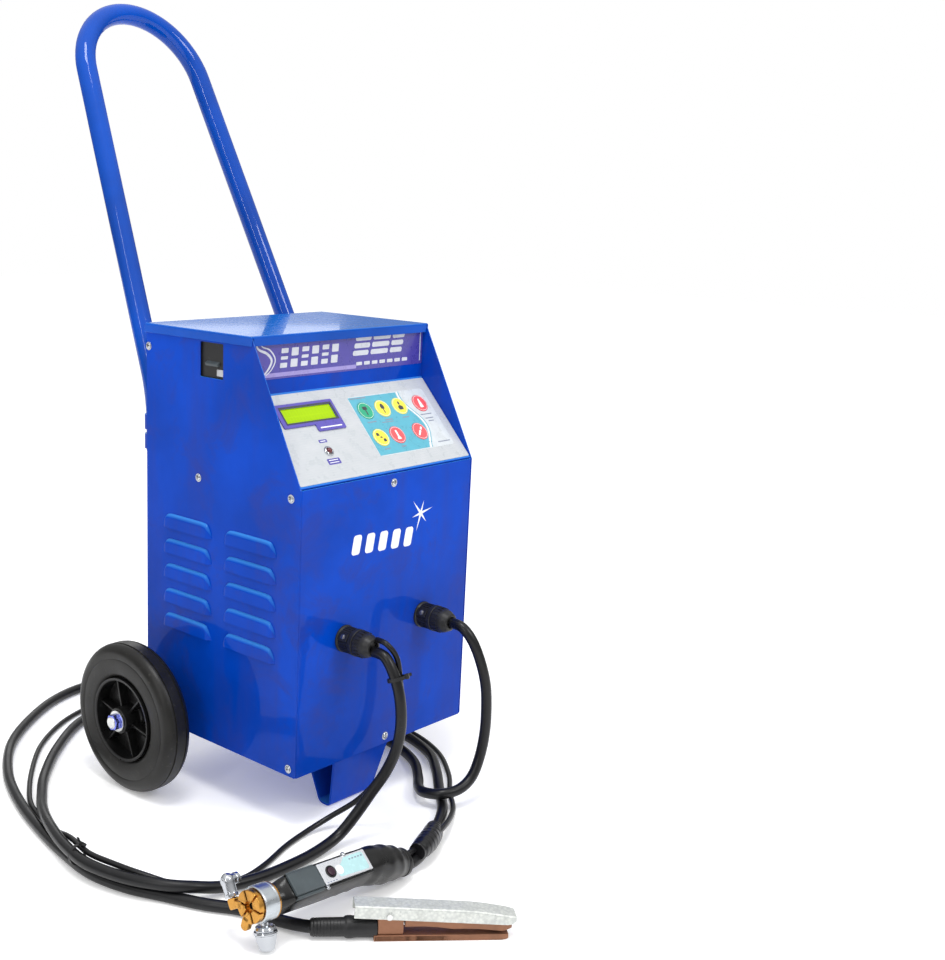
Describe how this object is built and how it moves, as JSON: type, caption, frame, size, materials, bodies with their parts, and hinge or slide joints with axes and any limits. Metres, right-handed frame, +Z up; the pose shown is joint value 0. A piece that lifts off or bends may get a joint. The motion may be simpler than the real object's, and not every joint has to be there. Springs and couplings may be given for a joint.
{
  "type": "spot welder",
  "caption": "Trolley spot welder: sheet-steel cabinet with sloping keypad panel, push handle, two wheels, front foot, welding gun and ground clamp on cables.",
  "frame": {"origin": "centre of the front foot's flat underside, on the floor", "axes": "+X to the right seen from the front, -Y out of the front panel, +Z up"},
  "size_m": [0.6868, 0.9189, 1.0368],
  "materials": {
    "blue_paint": "gloss powder coat, saturated royal blue",
    "handle_paint": "gloss powder coat, slightly brighter blue",
    "white_film": "printed polyester film, satin",
    "keypad_print": "printed polyester film, satin",
    "zinc_steel": "zinc plated",
    "chrome": "polished",
    "dark_steel": "dull dark steel",
    "tyre_rubber": "matte solid rubber",
    "black_plastic": "moulded nylon",
    "display_green": "lit yellow-green display glass",
    "circuit_board": "circuit board laminate",
    "purple_plastic": "moulded frame",
    "lamp_red": "clear red lens",
    "key_green": "domed print",
    "key_yellow": "domed print",
    "key_red": "domed print",
    "grey_plastic": "moulded slate grey",
    "light_plastic": "moulded light grey",
    "copper": "bare copper",
    "brass": "machined brass",
    "label_silver": "printed aluminium plate",
    "button_dark": "soft button",
    "cable_rubber": "matte rubber sheath"
  },
  "bodies": {
    "welder": {"side_panel_left": "blue_paint", "side_panel_right": "blue_paint", "front_panel": "blue_paint", "control_panel": "blue_paint", "panel_film": "white_film", "keypad_film": "keypad_print", "top_cover": "blue_paint", "rear_panel": "blue_paint", "base_plate": "blue_paint", "foot": "blue_paint", "handle_tube": "handle_paint", "handle_saddles": "blue_paint", "axle": "zinc_steel", "axle_mounts": "dark_steel", "axle_nuts": "zinc_steel", "cabinet_screws": "zinc_steel", "lcd_module": "circuit_board", "lcd_bezel": "purple_plastic", "lcd_window": "display_green", "lamp_ring": "chrome", "lamp_lens": "lamp_red", "cable_glands": "black_plastic", "gland_nuts": "black_plastic", "breaker_body": "grey_plastic", "transformer_core": "dark_steel", "primary_coil": "copper", "secondary_coil": "copper", "busbars": "copper", "control_board": "circuit_board", "gun_body": "black_plastic", "gun_cover": "grey_plastic", "gun_label": "label_silver", "gun_head": "brass", "gun_nut": "chrome", "clamp_lower_jaw": "copper", "clamp_block": "brass", "clamp_pin": "zinc_steel", "clamp_spring": "zinc_steel", "clamp_sleeve": "black_plastic", "gun_cable": "cable_rubber", "control_cable": "cable_rubber", "ground_cable": "cable_rubber", "cable_sleeve": "black_plastic"},
    "wheel_left": {"tyre_left": "tyre_rubber", "hub_left": "black_plastic"},
    "wheel_right": {"tyre_right": "tyre_rubber", "hub_right": "black_plastic"},
    "breaker_lever": {"breaker_toggle": "light_plastic"},
    "gun_trigger": {"gun_button": "button_dark"},
    "collet_lever": {"gun_lever": "chrome"},
    "nut_knob": {"gun_knob": "chrome"},
    "clamp_jaw": {"clamp_channel": "zinc_steel", "clamp_liner": "copper"},
    "key_1_cap": {"key_1": "key_green"},
    "key_2_cap": {"key_2": "key_yellow"},
    "key_3_cap": {"key_3": "key_yellow"},
    "key_4_cap": {"key_4": "key_red"},
    "key_5_cap": {"key_5": "key_yellow"},
    "key_6_cap": {"key_6": "key_red"},
    "key_7_cap": {"key_7": "key_red"}
  },
  "joints": [
    {"name": "wheel_left_spin", "type": "hinge", "parent": "welder", "child": "wheel_left", "pos_m": [-0.187, 0.2125, 0.1], "axis": [1, 0, 0], "continuous": true},
    {"name": "wheel_right_spin", "type": "hinge", "parent": "welder", "child": "wheel_right", "pos_m": [0.261, 0.2125, 0.1], "axis": [1, 0, 0], "continuous": true},
    {"name": "breaker_throw", "type": "hinge", "parent": "welder", "child": "breaker_lever", "pos_m": [-0.1155, 0.1315, 0.575], "axis": [0, 1, 0], "range_deg": [0, 60]},
    {"name": "trigger_press", "type": "slide", "parent": "welder", "child": "gun_trigger", "axis": [-0.0555, 0.6439, -0.7631], "range_m": [0, 0.0018], "stiffness_N_per_m": 400, "springref_m": -0.001},
    {"name": "collet_lever_turn", "type": "hinge", "parent": "welder", "child": "collet_lever", "pos_m": [-0.34642, -0.16548, 0.04571], "axis": [0.0823, 0.5506, 0.8307], "range_deg": [-90, 90]},
    {"name": "nut_knob_turn", "type": "hinge", "parent": "welder", "child": "nut_knob", "pos_m": [-0.33274, -0.19957, 0.02239], "axis": [-0.0887, -0.2573, -0.9623], "continuous": true},
    {"name": "clamp_jaw_open", "type": "hinge", "parent": "welder", "child": "clamp_jaw", "pos_m": [-0.21789, -0.27037, 0.02999], "axis": [-0.6691, -0.7431, 0], "range_deg": [0, 5], "stiffness_Nm_per_rad": 1, "springref_deg": -17.19, "deforming": ["clamp_spring"]},
    {"name": "key_1_press", "type": "slide", "parent": "welder", "child": "key_1_cap", "axis": [0, 0.7331, -0.6801], "range_m": [0, 0.0005], "stiffness_N_per_m": 600, "springref_m": -0.0005},
    {"name": "key_2_press", "type": "slide", "parent": "welder", "child": "key_2_cap", "axis": [0, 0.7331, -0.6801], "range_m": [0, 0.0005], "stiffness_N_per_m": 600, "springref_m": -0.0005},
    {"name": "key_3_press", "type": "slide", "parent": "welder", "child": "key_3_cap", "axis": [0, 0.7331, -0.6801], "range_m": [0, 0.0005], "stiffness_N_per_m": 600, "springref_m": -0.0005},
    {"name": "key_4_press", "type": "slide", "parent": "welder", "child": "key_4_cap", "axis": [0, 0.7331, -0.6801], "range_m": [0, 0.0005], "stiffness_N_per_m": 600, "springref_m": -0.0005},
    {"name": "key_5_press", "type": "slide", "parent": "welder", "child": "key_5_cap", "axis": [0, 0.7331, -0.6801], "range_m": [0, 0.0005], "stiffness_N_per_m": 600, "springref_m": -0.0005},
    {"name": "key_6_press", "type": "slide", "parent": "welder", "child": "key_6_cap", "axis": [0, 0.7331, -0.6801], "range_m": [0, 0.0005], "stiffness_N_per_m": 600, "springref_m": -0.0005},
    {"name": "key_7_press", "type": "slide", "parent": "welder", "child": "key_7_cap", "axis": [0, 0.7331, -0.6801], "range_m": [0, 0.0005], "stiffness_N_per_m": 600, "springref_m": -0.0005}
  ]
}
